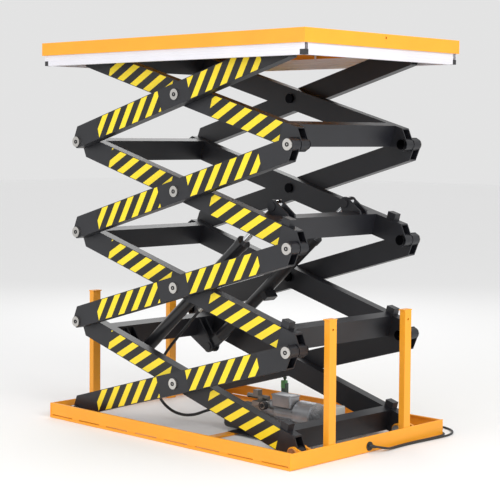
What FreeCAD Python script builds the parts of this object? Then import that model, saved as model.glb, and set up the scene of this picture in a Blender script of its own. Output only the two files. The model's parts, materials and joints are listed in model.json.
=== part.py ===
"""Scissor lift table with four stacked scissor pairs, as a parametric assembly.

Frame: +X along the table towards its fixed pivots, the near long side faces -Y, +Z up.
The origin is on the floor under the middle of the table. Sizes are millimetres and degrees.
"""

import FreeCAD, Part
import math
import os
import re

import Sketcher
from FreeCAD import Rotation, Vector

LEVELS = 4
RAIL_SLOTS = 8
MOTOR_FINS = 20

# name, value, what it is
SIZES = [
    ("base_length", 1584, "base frame, overall"),
    ("base_width", 1050, "base frame, overall"),
    ("base_height", 71, "base frame, overall"),
    ("base_wall", 6, "side rail web and lip"),
    ("base_foot", 3, "how far the rail's foot stands proud of its web"),
    ("base_flange", 84, "side rail's floor flange, from the outside"),
    ("flange_thickness", 6, "floor flange, on which the rollers run"),
    ("lip_width", 14, "side rail's top lip"),
    ("end_thickness", 6, "base end plates"),
    ("corner_radius", 5, "bent outer corners of the base"),
    ("slot_length", 150, "slots along the foot of the side rails"),
    ("slot_pitch", 200, "slot to slot"),
    ("slot_height", 4, "slot opening"),
    ("slot_level", 12, "slot's lower edge above the floor"),
    ("cable_hole_radius", 15, "cable hole in the fixed end plate"),
    ("cable_hole_side", -15, "cable hole's place across the end plate"),
    ("cable_hole_level", 28, "cable hole above the floor"),
    ("bar_width", 40, "flat cross bars of the base"),
    ("bar_thickness", 10, "flat cross bars of the base"),
    ("post_width", 45, "support posts, across the table"),
    ("post_depth", 30, "support posts, along the table"),
    ("post_wall", 3, "support posts' tube wall"),
    ("post_height", 604, "top of the posts' cap plates"),
    ("post_inset", 74, "post centre inside the inner arms' inner faces"),
    ("cap_thickness", 5, "post cap plates"),
    ("cap_margin", 4, "how far the cap plates stand out"),
        ("lift_angle", 17.54, "angle of the pin line as drawn"),
    ("arm_depth", 100, "arm tube section"),
    ("arm_width", 50, "arm tube section"),
    ("arm_wall", 5, "arm tube wall"),
    ("arm_gap", 5, "between inner and outer arms"),
    ("scissor_inset", 88, "outer arms' outer faces inside the base's outline"),
    ("pin_edge", 30, "end pin's centre to the tube's nearer edge"),
    ("nose_top", 22, "start of the slanted end cut, inside the pin"),
    ("pivot_level", 34, "base pivots above the floor"),
    ("pivot_margin", 104, "fixed pivots to the end plate's inner face"),
    ("end_room", 1.3, "arm ends to the other end plate, lowered"),
    ("landing_gap", 1.9, "deck above the posts at the lowest stop"),
    ("boss_wall", 8, "bearing tubes in the arms, wall"),
    ("pin_radius", 20, "pivot pins"),
    ("pin_play", 0.05, "radial running clearance on every pin"),
    ("face_gap", 0.5, "side clearance between faces that pass each other"),
    ("head_margin", 5, "pin heads beyond their pin"),
    ("head_thickness", 8, "pin heads"),
    ("collar_margin", 3, "collars and washers beyond their pin"),
    ("collar_thickness", 11, "collars on the pins' inner ends"),
    ("cross_width", 50, "cross tubes of the inner frames, along the arm"),
    ("cross_inset", 65, "cross tube from the lower end pin"),
    ("upper_inset", 35, "cross tube from the upper end pin"),
    ("anchored_lower_inset", 170, "cross tube that carries the rods, from the lower end pin"),
    ("anchored_upper_inset", 125, "cross tube that carries the barrels, from the upper end pin"),
    ("pad_length", 45, "rest pads"),
    ("pad_width", 38, "rest pads"),
    ("pad_gap", 2.5, "rest pads below the next arms at the lowest stop"),
    ("pad_inset", 68, "rest pads from the lower end pin"),
    ("roller_gap", 0.3, "roller to track"),
    ("roller_width", 26, "rollers"),
    ("roller_offset", 21, "roller's mid-plane outside the outer arms"),
    ("lug_thickness", 12, "pivot lugs on base and platform"),
    ("lug_margin", 10, "pivot lugs' rounded nose beyond its pin"),
    ("cylinder_inset", 87, "hydraulic cylinders inside the inner arms' inner faces"),
    ("anchor_along", 277, "cylinder pins from the arms' end pins, along the tube"),
    ("anchor_rise", 20, "cylinder pins beyond the arm tube's edge"),
    ("anchor_radius", 30, "bracket plates' rounded nose"),
    ("bracket_thickness", 10, "bracket plates"),
    ("anchor_pin_radius", 15, "cylinder pins"),
    ("anchor_head_radius", 20, "cylinder pin heads"),
    ("anchor_head_thickness", 5, "cylinder pin heads"),
    ("eye_width", 32, "cylinder eyes"),
    ("eye_radius", 27, "cylinder eyes"),
    ("barrel_radius", 30, "cylinder barrels"),
    ("barrel_bore_radius", 24, "cylinder bore"),
    ("barrel_length", 918, "barrel, lower pin to the gland's face"),
    ("neck_length", 90, "flat neck between the barrel and its pin"),
    ("neck_depth", 44, "flat neck between the barrel and its pin"),
    ("gland_radius", 33, "barrel gland"),
    ("gland_length", 30, "barrel gland"),
    ("port_place", 490, "oil port from the lower pin"),
    ("port_drop", 52, "oil port below the cylinder's axis"),
    ("rod_radius", 15, "piston rods"),
    ("piston_place", 335, "piston's rear face from the lower pin, as drawn"),
    ("piston_length", 60, "pistons"),
    ("platform_overhang", 58, "platform beyond the base, each end"),
    ("platform_lap", 3, "platform beyond the base, each side"),
    ("skirt_height", 60, "platform edge, deck included"),
    ("skirt_wall", 6, "platform edge plates"),
    ("deck_thickness", 4, "deck plate"),
    ("deck_drop", 38, "top of the deck above the top pivots"),
    ("track_length", 500, "roller tracks under the deck"),
    ("track_margin", 38, "track's outer end inside the platform's end"),
    ("track_wall", 5, "roller track sections"),
    ("track_room", 5, "roller tracks' web outside the rollers"),
    ("stiffener_width", 40, "deck stiffeners"),
    ("stiffener_depth", 45, "deck stiffeners"),
    ("guard_inset", 10, "safety frame inside the platform's outline"),
    ("guard_width", 25, "safety frame section"),
    ("guard_height", 51, "safety frame section"),
    ("guard_overlap", 2, "safety frame's top inside the platform edge"),
    ("guard_wall", 2.5, "safety frame section's wall"),
    ("guard_corner", 22, "height of the safety frame's corner pieces"),
    ("stud_radius", 5, "studs that carry the safety frame"),
    ("shelf_drop", 35, "platform's brackets for the studs, below the deck's top"),
    ("motor_side", -45, "motor axis across the table"),
    ("motor_level", 117, "motor axis above the floor"),
    ("motor_radius", 54, "motor barrel, without fins"),
    ("fin_height", 7, "motor fins"),
    ("motor_start", 300, "motor barrel's pump end, along the table"),
    ("motor_length", 118, "motor barrel"),
    ("bell_length", 92, "cone between motor and pump"),
    ("fan_radius", 65, "fan cover"),
    ("fan_length", 93, "fan cover"),
    ("fan_wall", 2.5, "fan cover sheet"),
    ("plate_thickness", 3, "power unit's plate"),
    ("tank_length", 155, "oil tank, along the table"),
    ("tank_width", 170, "oil tank, across the table"),
    ("tank_height", 105, "oil tank"),
    ("tank_corner", 22, "oil tank's rounded edges"),
    ("hose_radius", 7, "hydraulic hose"),
    ("supply_radius", 4.5, "supply lead"),
    ("control_radius", 4, "lead of the hand control"),
]
# name, formula, what it is; these follow from the sizes
LAYOUT = [
    ("pivot_reach", "base_length / 2 - end_thickness - pivot_margin", "fixed pivots from the middle"),
    ("boss_radius", "pin_radius + boss_wall", "bearing tubes and arm ends"),
    ("head_radius", "pin_radius + head_margin", "pin heads"),
    ("collar_radius", "pin_radius + collar_margin", "collars and washers"),
    ("lug_radius", "pin_radius + lug_margin", "pivot lugs' rounded nose"),
    ("roller_radius", "pivot_level - flange_thickness - roller_gap", "rollers"),
    ("deck_gap", "deck_drop - deck_thickness", "deck's underside above the top pivots"),
    (
        "closed_rise",
        f"(post_height + landing_gap - deck_gap - pivot_level) / {LEVELS}",
        "one level's height at the lowest stop",
    ),
    ("closed_reach", "2 * pivot_reach + pivot_margin - boss_radius - end_room", "the same, along X"),
    ("arm_length", "sqrt(closed_rise * closed_rise + closed_reach * closed_reach)", "pin to pin"),
    ("pad_height", "closed_rise - arm_depth - pad_gap", "rest pads"),
    ("level_rise", "arm_length * sin(lift_angle)", "one level's height as drawn"),
    ("level_reach", "arm_length * cos(lift_angle)", "one level's pins apart, along X"),
    ("free_end", "pivot_reach - level_reach", "roller end pins along X"),
    ("top_pivot", f"pivot_level + {LEVELS} * level_rise", "top pivots above the floor"),
    ("deck_under", "top_pivot + deck_gap", "deck's underside"),
    ("deck_top", "top_pivot + deck_drop", "deck's top"),
    ("pin_offset", "arm_depth - 2 * pin_edge", "between an arm's end pins, across its tube"),
    ("tube_span", "sqrt(arm_length * arm_length - pin_offset * pin_offset)", "the same, along its tube"),
    ("tube_angle", "lift_angle * 1 deg - asin(pin_offset / arm_length)", "the tubes' own slope"),
    ("scissor_width", "base_width - 2 * scissor_inset", "over the outer arms' outer faces"),
    ("outer_inside", "scissor_width / 2 - arm_width", "outer arms' inner face"),
    ("inner_outside", "outer_inside - arm_gap", "inner arms' outer face"),
    ("inner_inside", "inner_outside - arm_width", "inner arms' inner face"),
    ("roller_side", "scissor_width / 2 + roller_offset", "rollers' mid-plane"),
    ("post_side", "inner_inside - post_inset", "post centres"),
    ("cylinder_side", "inner_inside - cylinder_inset", "hydraulic cylinders"),
    ("platform_length", "base_length + 2 * platform_overhang", "platform, overall"),
    ("platform_width", "base_width + 2 * platform_lap", "platform, overall"),
    ("anchor_above", "arm_depth - pin_edge + anchor_rise", "cylinder pins from the end pins"),
    (
        "lower_anchor_x",
        "pivot_reach - (tube_span - anchor_along) * cos(tube_angle)"
        " + (pin_offset - anchor_above) * sin(tube_angle)",
        "barrel pins",
    ),
    (
        "lower_anchor_z",
        "pivot_level + (tube_span - anchor_along) * sin(tube_angle)"
        " + (pin_offset - anchor_above) * cos(tube_angle)",
        "barrel pins",
    ),
    (
        "upper_anchor_x",
        "pivot_reach - anchor_along * cos(tube_angle) + anchor_above * sin(tube_angle)",
        "rod pins",
    ),
    (
        "upper_anchor_z",
        "pivot_level + 2 * level_rise + anchor_along * sin(tube_angle) + anchor_above * cos(tube_angle)",
        "rod pins",
    ),
    ("cylinder_run", "upper_anchor_x - lower_anchor_x", "cylinder, along X"),
    ("cylinder_climb", "upper_anchor_z - lower_anchor_z", "cylinder, along Z"),
    ("cylinder_length", "sqrt(cylinder_run * cylinder_run + cylinder_climb * cylinder_climb)", "pins"),
    ("cylinder_tilt", "atan2(cylinder_climb; cylinder_run)", "cylinder's slope"),
]

doc = FreeCAD.newDocument("scissor_lift_table")
sheet = doc.addObject("Spreadsheet::Sheet", "sizes")
for row, (alias, value, note) in enumerate(SIZES, start=1):
    sheet.set(f"A{row}", note)
    sheet.set(f"B{row}", str(value))
    sheet.setAlias(f"B{row}", alias)
doc.recompute()

layout = doc.addObject("App::FeaturePython", "layout")
OWNERS = {alias: "sizes." for alias, _, _ in SIZES}
OWNERS.update({name: "layout." for name, _, _ in LAYOUT})
nodes = {}


def formula(text):
    """An expression that names the sheet's cells, from one that names the sizes alone."""
    return re.sub(r"[a-z_]+", lambda word: OWNERS.get(word[0], "") + word[0], text)


def number(text):
    """What a formula comes to now."""
    result = sheet.evalExpression(formula(str(text)))
    return float(getattr(result, "Value", result))


for name, text, note in LAYOUT:
    kind = "App::PropertyAngle" if name in ("tube_angle", "cylinder_tilt") else "App::PropertyFloat"
    layout.addProperty(kind, name, "Layout", note)
    layout.setExpression(name, formula(text))
doc.recompute()


def bind(thing, **formulas):
    """Binds properties; a double underscore in a name stands for a dot."""
    for name, text in formulas.items():
        thing.setExpression(name.replace("__", "."), formula(str(text)))
    return thing


def place(thing, x=0, y=0, z=0, angle=None):
    """Puts a piece at x, y, z, turned about +Y."""
    bind(thing, Placement__Base__x=x, Placement__Base__y=y, Placement__Base__z=z)
    if angle is not None:
        thing.Placement.Rotation = Rotation(Vector(0, 1, 0), 1)
        bind(thing, Placement__Rotation__Axis__x=0, Placement__Rotation__Axis__y=1)
        bind(thing, Placement__Rotation__Axis__z=0, Placement__Rotation__Angle=angle)
    return thing


def add(kind, name):
    thing = doc.addObject(kind, name)
    thing.Label = name
    return thing


def block(name, length, width, height, x=0, y=0, z=0):
    """A box with its low corner at x, y, z."""
    thing = bind(add("Part::Box", name), Length=length, Width=width, Height=height)
    return place(thing, x, y, z)


TURNS = {
    "X": Rotation(Vector(0, 1, 0), 90),
    "Y": Rotation(Vector(1, 0, 0), -90),
    "Z": Rotation(),
}


def disc(name, radius, length, x=0, y=0, z=0, along="Y"):
    """A cylinder that starts at x, y, z and runs along an axis."""
    thing = bind(add("Part::Cylinder", name), Radius=radius, Height=length)
    thing.Placement.Rotation = TURNS[along]
    return place(thing, x, y, z)


def fuse(name, *parts):
    thing = add("Part::MultiFuse", name)
    thing.Shapes = list(parts)
    return thing


def cut(name, base, *tools):
    thing = add("Part::Cut", name)
    thing.Base = base
    thing.Tool = tools[0] if len(tools) == 1 else fuse(name + "_tools", *tools)
    return thing


def mirror(name, source, normal=(0, 1, 0)):
    thing = add("Part::Mirroring", name)
    thing.Source = source
    thing.Normal = Vector(*normal)
    return thing


def group(name, *parts):
    """Several solids that keep apart, placed as one."""
    thing = add("Part::Compound", name)
    thing.Links = list(parts)
    return thing


def both(name, source):
    """A piece on the near side and its twin on the far side."""
    return group(name, source, mirror(name + "_far", source))


def node(thing, name=None):
    """Marks a piece as one of the assembly's sub-parts."""
    thing.Label = name or thing.Label
    nodes[thing.Label] = thing
    return thing


def origin_plane(body, role):
    return next(feature for feature in body.Origin.OriginFeatures if feature.Role == role)


def outline(body, name, plane, points=(), circles=()):
    """A sketch of one closed outline, or of circles, whose points are bound to formulas."""
    sketch = body.newObject("Sketcher::SketchObject", name)
    sketch.AttachmentSupport = [(origin_plane(body, plane), "")]
    sketch.MapMode = "FlatFace"
    values = [(number(across), number(up)) for across, up in points]
    for start, end in zip(values, values[1:] + values[:1]):
        sketch.addGeometry(Part.LineSegment(Vector(*start, 0), Vector(*end, 0)), False)
    for index in range(len(values)):
        following = (index + 1) % len(values)
        sketch.addConstraint(Sketcher.Constraint("Coincident", index, 2, following, 1))
    for index, (across, up) in enumerate(points):
        for kind, text in (("DistanceX", across), ("DistanceY", up)):
            rule = Sketcher.Constraint(kind, -1, 1, index, 1, number(text))
            key = sketch.addConstraint(rule)
            sketch.setExpression(f"Constraints[{key}]", formula(str(text)))
    for index, (across, up, radius) in enumerate(circles, start=len(values)):
        centre = Vector(number(across), number(up), 0)
        sketch.addGeometry(Part.Circle(centre, Vector(0, 0, 1), number(radius)), False)
        rules = (
            (Sketcher.Constraint("DistanceX", -1, 1, index, 3, centre.x), across),
            (Sketcher.Constraint("DistanceY", -1, 1, index, 3, centre.y), up),
            (Sketcher.Constraint("Radius", index, number(radius)), radius),
        )
        for rule, text in rules:
            key = sketch.addConstraint(rule)
            sketch.setExpression(f"Constraints[{key}]", formula(str(text)))
    return sketch


def pad(body, name, sketch, length):
    """Pads a sketch to both sides of its plane."""
    feature = body.newObject("PartDesign::Pad", name)
    feature.Profile = sketch
    feature.SideType = "Symmetric"
    bind(feature, Length=length)
    doc.recompute()
    return feature


def pocket(body, name, sketch):
    """Cuts a sketch right through, to both sides of its plane."""
    feature = body.newObject("PartDesign::Pocket", name)
    feature.Profile = sketch
    feature.SideType = "Symmetric"
    feature.Type = "ThroughAll"
    doc.recompute()
    return feature


def round_edges(body, name, radius, wanted):
    """Fillets the edges whose ends both pass a test."""
    base = body.Tip
    names = []
    for index, edge in enumerate(base.Shape.Edges, start=1):
        if all(wanted(corner.Point) for corner in edge.Vertexes):
            names.append(f"Edge{index}")
    feature = body.newObject("PartDesign::Fillet", name)
    feature.Base = (base, names)
    bind(feature, Radius=radius)
    doc.recompute()
    return feature


def plate(name, points, circles, holes, thickness):
    """A plate in the XZ plane: an outline, rounded noses fused to it, and round holes."""
    body = doc.addObject("PartDesign::Body", name)
    body.Label = name
    pad(body, name + "_pad", outline(body, name + "_outline", "XZ_Plane", points), thickness)
    for index, circle in enumerate(circles):
        sketch = outline(body, f"{name}_nose{index}", "XZ_Plane", (), [circle])
        pad(body, f"{name}_nose_pad{index}", sketch, thickness)
    for index, hole in enumerate(holes):
        sketch = outline(body, f"{name}_hole{index}", "XZ_Plane", (), [hole])
        pocket(body, f"{name}_hole_cut{index}", sketch)
    return body


# ---- Base frame: side rails with a floor flange, a lip and a row of slots ----
def base_side_rails():
    rail = doc.addObject("PartDesign::Body", "base_rail")
    edge = "-base_width / 2"
    web = f"({edge} + base_foot)"
    section = [
        (edge, 0),
        (f"{edge} + base_flange", 0),
        (f"{edge} + base_flange", "flange_thickness"),
        (f"{web} + base_wall", "flange_thickness"),
        (f"{web} + base_wall", "base_height - base_wall"),
        (f"{web} + lip_width", "base_height - base_wall"),
        (f"{web} + lip_width", "base_height"),
        (web, "base_height"),
        (web, "slot_level - 2"),
        (edge, "slot_level - 2"),
    ]
    profile = outline(rail, "rail_section", "YZ_Plane", section)
    pad(rail, "rail_pad", profile, "base_length - 2 * end_thickness")
    height = number("base_height")
    outer = number(web)

    def on_top_edge(point):
        return abs(point.z - height) < 0.01 and abs(point.y - outer) < 0.01

    round_edges(rail, "rail_rounding", "base_wall - 1", on_top_edge)
    first = f"(-slot_pitch * {(RAIL_SLOTS - 1) / 2} - slot_length / 2)"
    window = [
        (first, "slot_level"),
        (f"{first} + slot_length", "slot_level"),
        (f"{first} + slot_length", "slot_level + slot_height"),
        (first, "slot_level + slot_height"),
    ]
    sketch = outline(rail, "slot_outline", "XZ_Plane", window)
    slot = pocket(rail, "slot_cut", sketch)
    row = rail.newObject("PartDesign::LinearPattern", "slot_row")
    row.Originals = [slot]
    row.Direction = (sketch, ["H_Axis"])
    row.Occurrences = RAIL_SLOTS
    bind(row, Length=f"slot_pitch * {RAIL_SLOTS - 1}")
    rail.Tip = row
    node(both("base_side_rails", rail))


def end_plate(name, side):
    """An end plate with its two outer corners rounded; side is 1 or -1 along X."""
    body = doc.addObject("PartDesign::Body", name)
    outer = f"{side} * base_length / 2"
    inner = f"{side} * (base_length / 2 - end_thickness)"
    points = [
        (outer, "-base_width / 2"),
        (outer, "base_width / 2"),
        (inner, "base_width / 2"),
        (inner, "-base_width / 2"),
    ]
    sketch = outline(body, name + "_outline", "XY_Plane", points)
    feature = pad(body, name + "_pad", sketch, "2 * base_height")
    feature.SideType = "One side"
    bind(feature, Length="base_height")
    doc.recompute()
    face = number(outer)
    round_edges(body, name + "_rounding", "corner_radius", lambda point: abs(point.x - face) < 0.01
                and abs(abs(point.y) - number("base_width / 2")) < 0.01)
    return body


def base_end_plates(lugs):
    """Both end plates, with the lugs of the fixed pivots welded to one of them."""
    pivot_end = end_plate("pivot_end_plate", 1)
    across, up = "cable_hole_side", "cable_hole_level"
    hole = outline(pivot_end, "cable_hole", "YZ_Plane", (), [(across, up, "cable_hole_radius")])
    pocket(pivot_end, "cable_hole_cut", hole)
    node(group("base_end_plates", pivot_end, end_plate("roller_end_plate", -1), lugs))


def base_cross_bars():
    half = "(base_width / 2 - base_flange)"
    bars = [
        block(f"bar_{index}", "bar_width", f"2 * {half}", "bar_thickness", x, f"-{half}")
        for index, x in enumerate((88, 490))
    ]
    node(group("base_cross_bars", *bars))


def support_posts():
    inner = ("post_depth - 2 * post_wall", "post_width - 2 * post_wall")
    tube = block("post_tube", "post_depth", "post_width", "post_height - cap_thickness")
    hollow = block("post_hollow", *inner, "post_height - cap_thickness", "post_wall", "post_wall")
    bolt_hole = disc("post_bolt_hole", 5, 20, "post_depth - 10", "post_width / 2", "post_height - 45", "X")
    body = cut("post_body", tube, hollow, bolt_hole)
    cap_size = ("post_depth + cap_margin", "post_width + 2 * cap_margin", "cap_thickness")
    cap = block("post_cap", *cap_size, "-cap_margin", "-cap_margin", "post_height - cap_thickness")
    post = fuse("post_form", body, cap)
    corner = "base_length / 2 - end_thickness - post_depth"
    copies = []
    for index, side in enumerate((-1, 1)):
        copy = group(f"post_{index}", post)
        copies.append(place(copy, corner, f"{side} * post_side - post_width / 2"))
    right = group("posts_right", *copies)
    node(group("support_posts", right, mirror("posts_left", right, (1, 0, 0))))


# ---- Arms: rectangular tubes with bearing tubes at both ends and the middle ----
# An arm's own frame: origin on its lower end pin, X along the tube, Z across it.
MIDDLE = ("tube_span / 2", "pin_offset / 2")
UPPER = ("tube_span", "pin_offset")


def arm_form():
    body = doc.addObject("PartDesign::Body", "arm_form")
    lower_edge = "-pin_edge"
    upper_edge = "(arm_depth - pin_edge)"
    end = [
        ("-10", lower_edge),
        ("-boss_radius", "-10"),
        ("-boss_radius", "8"),
        ("nose_top", upper_edge),
    ]
    far_end = [(f"tube_span - ({x})", f"pin_offset - ({z})") for x, z in end]
    profile = outline(body, "arm_outline", "XZ_Plane", end[::-1] + far_end[::-1])
    pad(body, "arm_pad", profile, "arm_width")
    room = [
        ("-arm_width / 2 + arm_wall", f"{lower_edge} + arm_wall"),
        ("arm_width / 2 - arm_wall", f"{lower_edge} + arm_wall"),
        ("arm_width / 2 - arm_wall", f"{upper_edge} - arm_wall"),
        ("-arm_width / 2 + arm_wall", f"{upper_edge} - arm_wall"),
    ]
    pocket(body, "arm_hollow_cut", outline(body, "arm_hollow", "YZ_Plane", room))
    for index, (x, z) in enumerate(((0, 0), MIDDLE, UPPER)):
        boss = outline(body, f"boss_{index}", "XZ_Plane", (), [(x, z, "boss_radius")])
        pad(body, f"boss_pad_{index}", boss, "arm_width")
    for index, (x, z) in enumerate(((0, 0), MIDDLE, UPPER)):
        bore = outline(body, f"bore_{index}", "XZ_Plane", (), [(x, z, "pin_radius + pin_play")])
        pocket(body, f"bore_cut_{index}", bore)
    return body


def on_arm(name, part, level, inner):
    """A piece drawn in an arm's own frame, put where that level's inner or outer arms are."""
    z = f"pivot_level + {level - 1} * level_rise"
    if inner:
        return place(group(name, part), "pivot_reach", 0, z, "tube_angle")
    return place(group(name, part), "free_end", 0, z, "-tube_angle")


def arms():
    form = arm_form()
    outer_near = place(group("outer_near", form), 0, "-(scissor_width - arm_width) / 2")
    outer_pair = both("outer_pair", outer_near)
    inner_near = place(group("inner_near", form), 0, "-(inner_outside + inner_inside) / 2")
    inner_pair = mirror("inner_pair", both("inner_both", inner_near), (1, 0, 0))
    for level in range(1, LEVELS + 1):
        node(on_arm(f"outer_arms_{level}", outer_pair, level, False))
        node(on_arm(f"inner_arms_{level}", inner_pair, level, True))


def cross_tube(name, x):
    """A hollow tube across the table between the inner arms."""
    size = ("cross_width", "2 * inner_inside", "arm_depth")
    tube = block(name + "_outside", *size, x, "-inner_inside", "-pin_edge")
    room = ("cross_width - 2 * arm_wall", "2 * inner_inside", "arm_depth - 2 * arm_wall")
    start = (f"{x} + arm_wall", "-inner_inside", "-pin_edge + arm_wall")
    return cut(name, tube, block(name + "_room", *room, *start))


def cross_tubes():
    """Two tubes in each inner frame, and the rest pads on top of the lower three frames."""
    lower = cross_tube("lower_tube", "cross_inset")
    upper = cross_tube("upper_tube", "tube_span - upper_inset - cross_width")
    rod_tube = cross_tube("rod_tube", "anchored_lower_inset")
    barrel_tube = cross_tube("barrel_tube", "tube_span - anchored_upper_inset - cross_width")
    size = ("pad_length", "pad_width", "pad_height")
    side = "-(inner_outside + inner_inside + pad_width) / 2"
    rest = block("rest_pad", *size, "pad_inset", side, "arm_depth - pin_edge")
    pads = both("rest_pad_pair", rest)
    sets = {
        1: (lower, barrel_tube, pads),
        2: (lower, upper, pads),
        3: (rod_tube, upper, pads),
        4: (lower, upper),
    }
    for level, pieces in sets.items():
        form = mirror(f"tubes_{level}", group(f"tube_set_{level}", *pieces), (1, 0, 0))
        node(on_arm(f"inner_cross_tubes_{level}", form, level, True))


# ---- Pivot pins, drawn on the near side in the outer arms' frame ----
def pivot_pin(name, x, z):
    """A pin from its head on the outer arm to a collar inside the inner arm."""
    face = "(scissor_width / 2)"
    shaft_length = f"{face} - inner_inside + face_gap"
    return fuse(
        name,
        disc(name + "_head", "head_radius", "head_thickness", x, f"-({face} + head_thickness)", z),
        disc(name + "_shaft", "pin_radius", shaft_length, x, f"-{face}", z),
        disc(name + "_collar", "collar_radius", "collar_thickness", x, "-(inner_inside - face_gap)", z),
    )


def pivot_pins():
    lower = pivot_pin("lower_pin", 0, 0)
    middle = pivot_pin("middle_pin", *MIDDLE)
    upper = pivot_pin("upper_pin", *UPPER)
    sets = {1: (middle, upper), 4: (lower, middle)}
    for level in range(1, LEVELS + 1):
        near = group(f"pins_near_{level}", *sets.get(level, (lower, middle, upper)))
        node(on_arm(f"pivot_pins_{level}", both(f"pins_{level}", near), level, False))


# ---- Rollers and their axles ----
def axle(name, inside):
    """An axle from a collar on the arm's inner face to a washer outside the roller."""
    face = f"({inside} + arm_width)"
    outer = "(roller_side + roller_width / 2 + face_gap)"
    inner = "(roller_side - roller_width / 2 - face_gap)"
    return fuse(
        name,
        disc(name + "_collar", "collar_radius", 6, 0, f"-{inside}"),
        disc(name + "_shaft", "pin_radius", f"{outer} - {inside}", 0, f"-{outer}"),
        disc(name + "_sleeve", "collar_radius", f"{inner} - {face}", 0, f"-{inner}"),
        disc(name + "_washer", "collar_radius", 3, 0, f"-({outer} + 3)"),
    )


def rollers():
    base_axles = both("base_axle_pair", axle("base_axle", "outer_inside"))
    node(place(group("base_roller_axles", base_axles), "free_end", 0, "pivot_level"))
    top_axles = both("top_axle_pair", axle("top_axle", "inner_inside"))
    node(place(group("platform_roller_axles", top_axles), "free_end", 0, "top_pivot"))
    start = "-(roller_side + roller_width / 2)"
    rim = disc("roller_rim", "roller_radius", "roller_width", 0, start)
    bore = disc("roller_bore", "pin_radius + pin_play", "roller_width", 0, start)
    near = cut("roller_near", rim, bore)
    far = mirror("roller_far", near)
    for name, z in (("base_roller", "pivot_level"), ("platform_roller", "top_pivot")):
        node(place(group(name + "_near", near), "free_end", 0, z))
        node(place(group(name + "_far", far), "free_end", 0, z))


# ---- Fixed pivots ----
def lug_pair(name, form, inner, outer):
    """Lugs on both sides of an arm whose faces are inner and outer from the middle plane."""
    inside = place(group(name + "_inside", form), 0, f"-({inner} - face_gap - lug_thickness / 2)")
    outside = place(group(name + "_outside", form), 0, f"-({outer} + face_gap + lug_thickness / 2)")
    return both(name + "_set", group(name + "_pair", inside, outside))


def lug_pins(name, inner, outer):
    """Pins through a lug pair, on both sides of the table."""
    low = f"({inner} - face_gap - lug_thickness)"
    high = f"({outer} + face_gap + lug_thickness)"
    pin = fuse(
        name + "_pin",
        disc(name + "_shaft", "pin_radius", f"{high} - {low}", 0, f"-{high}"),
        disc(name + "_head", "head_radius", 6, 0, f"-({high} + 6)"),
        disc(name + "_nut", "collar_radius", 8, 0, f"-{low}"),
    )
    return both(name + "_pin_pair", pin)


def base_pivots():
    """The base frame's pivot pins, and the lugs that hold them."""
    points = [
        ("-lug_radius", "-pivot_level"),
        ("pivot_margin", "-pivot_level"),
        ("pivot_margin", "0"),
        ("lug_radius * 0.6", "lug_radius * 0.8"),
        ("-lug_radius", "0"),
    ]
    hole = (0, 0, "pin_radius")
    form = plate("base_lug", points, [(0, 0, "lug_radius")], [hole], "lug_thickness")
    lugs = lug_pair("base_lugs", form, "inner_inside", "inner_outside")
    pins = lug_pins("base_lug", "inner_inside", "inner_outside")
    node(place(group("base_pivot_pins", pins), "pivot_reach", 0, "pivot_level"))
    return place(group("base_pivot_lugs", lugs), "pivot_reach", 0, "pivot_level")


# Pieces welded under the deck: pivot lugs, stiffeners, and brackets for the safety frame
underframe = []


def platform_pivots():
    points = [
        ("-2 * lug_radius", "deck_gap"),
        ("-lug_radius * 0.8", "-lug_radius * 0.6"),
        ("lug_radius * 0.8", "-lug_radius * 0.6"),
        ("2 * lug_radius", "deck_gap"),
    ]
    hole = (0, 0, "pin_radius")
    form = plate("platform_lug", points, [(0, 0, "lug_radius")], [hole], "lug_thickness")
    lugs = lug_pair("platform_lugs", form, "outer_inside", "scissor_width / 2")
    underframe.append(place(group("platform_pivot_lugs", lugs), "pivot_reach", 0, "top_pivot"))
    pins = lug_pins("platform_lug", "outer_inside", "scissor_width / 2")
    node(place(group("platform_pivot_pins", pins), "pivot_reach", 0, "top_pivot"))


# ---- Hydraulic cylinders between the first and the third inner frame ----
# The lower pins' brackets are the upper ones turned half round about the arm's middle.
EYE_SIDE = "(eye_width / 2 + face_gap)"


def bracket_form(name, inset):
    """A plate notched over its cross tube, with a rounded nose at the cylinder's pin."""
    face = f"({inset} + cross_width)"
    top = "(arm_depth - pin_edge)"
    points = [
        (face, "-pin_edge + 8"),
        (face, top),
        (f"{face} - cross_width + 4", top),
        (f"{face} - cross_width + 12", f"{top} + 14"),
        ("anchor_along - anchor_radius * 0.3", "anchor_above + anchor_radius * 0.9"),
        ("anchor_along + anchor_radius * 0.8", "anchor_above - anchor_radius * 0.6"),
    ]
    nose = ("anchor_along", "anchor_above", "anchor_radius")
    form = plate(name, points, [nose], [], "bracket_thickness")
    offset = f"({EYE_SIDE} + bracket_thickness / 2)"
    inner = place(group(name + "_inner", form), 0, f"-(cylinder_side - {offset})")
    outer = place(group(name + "_outer", form), 0, f"-(cylinder_side + {offset})")
    return both(name + "_set", group(name + "_pair", inner, outer))


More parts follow.
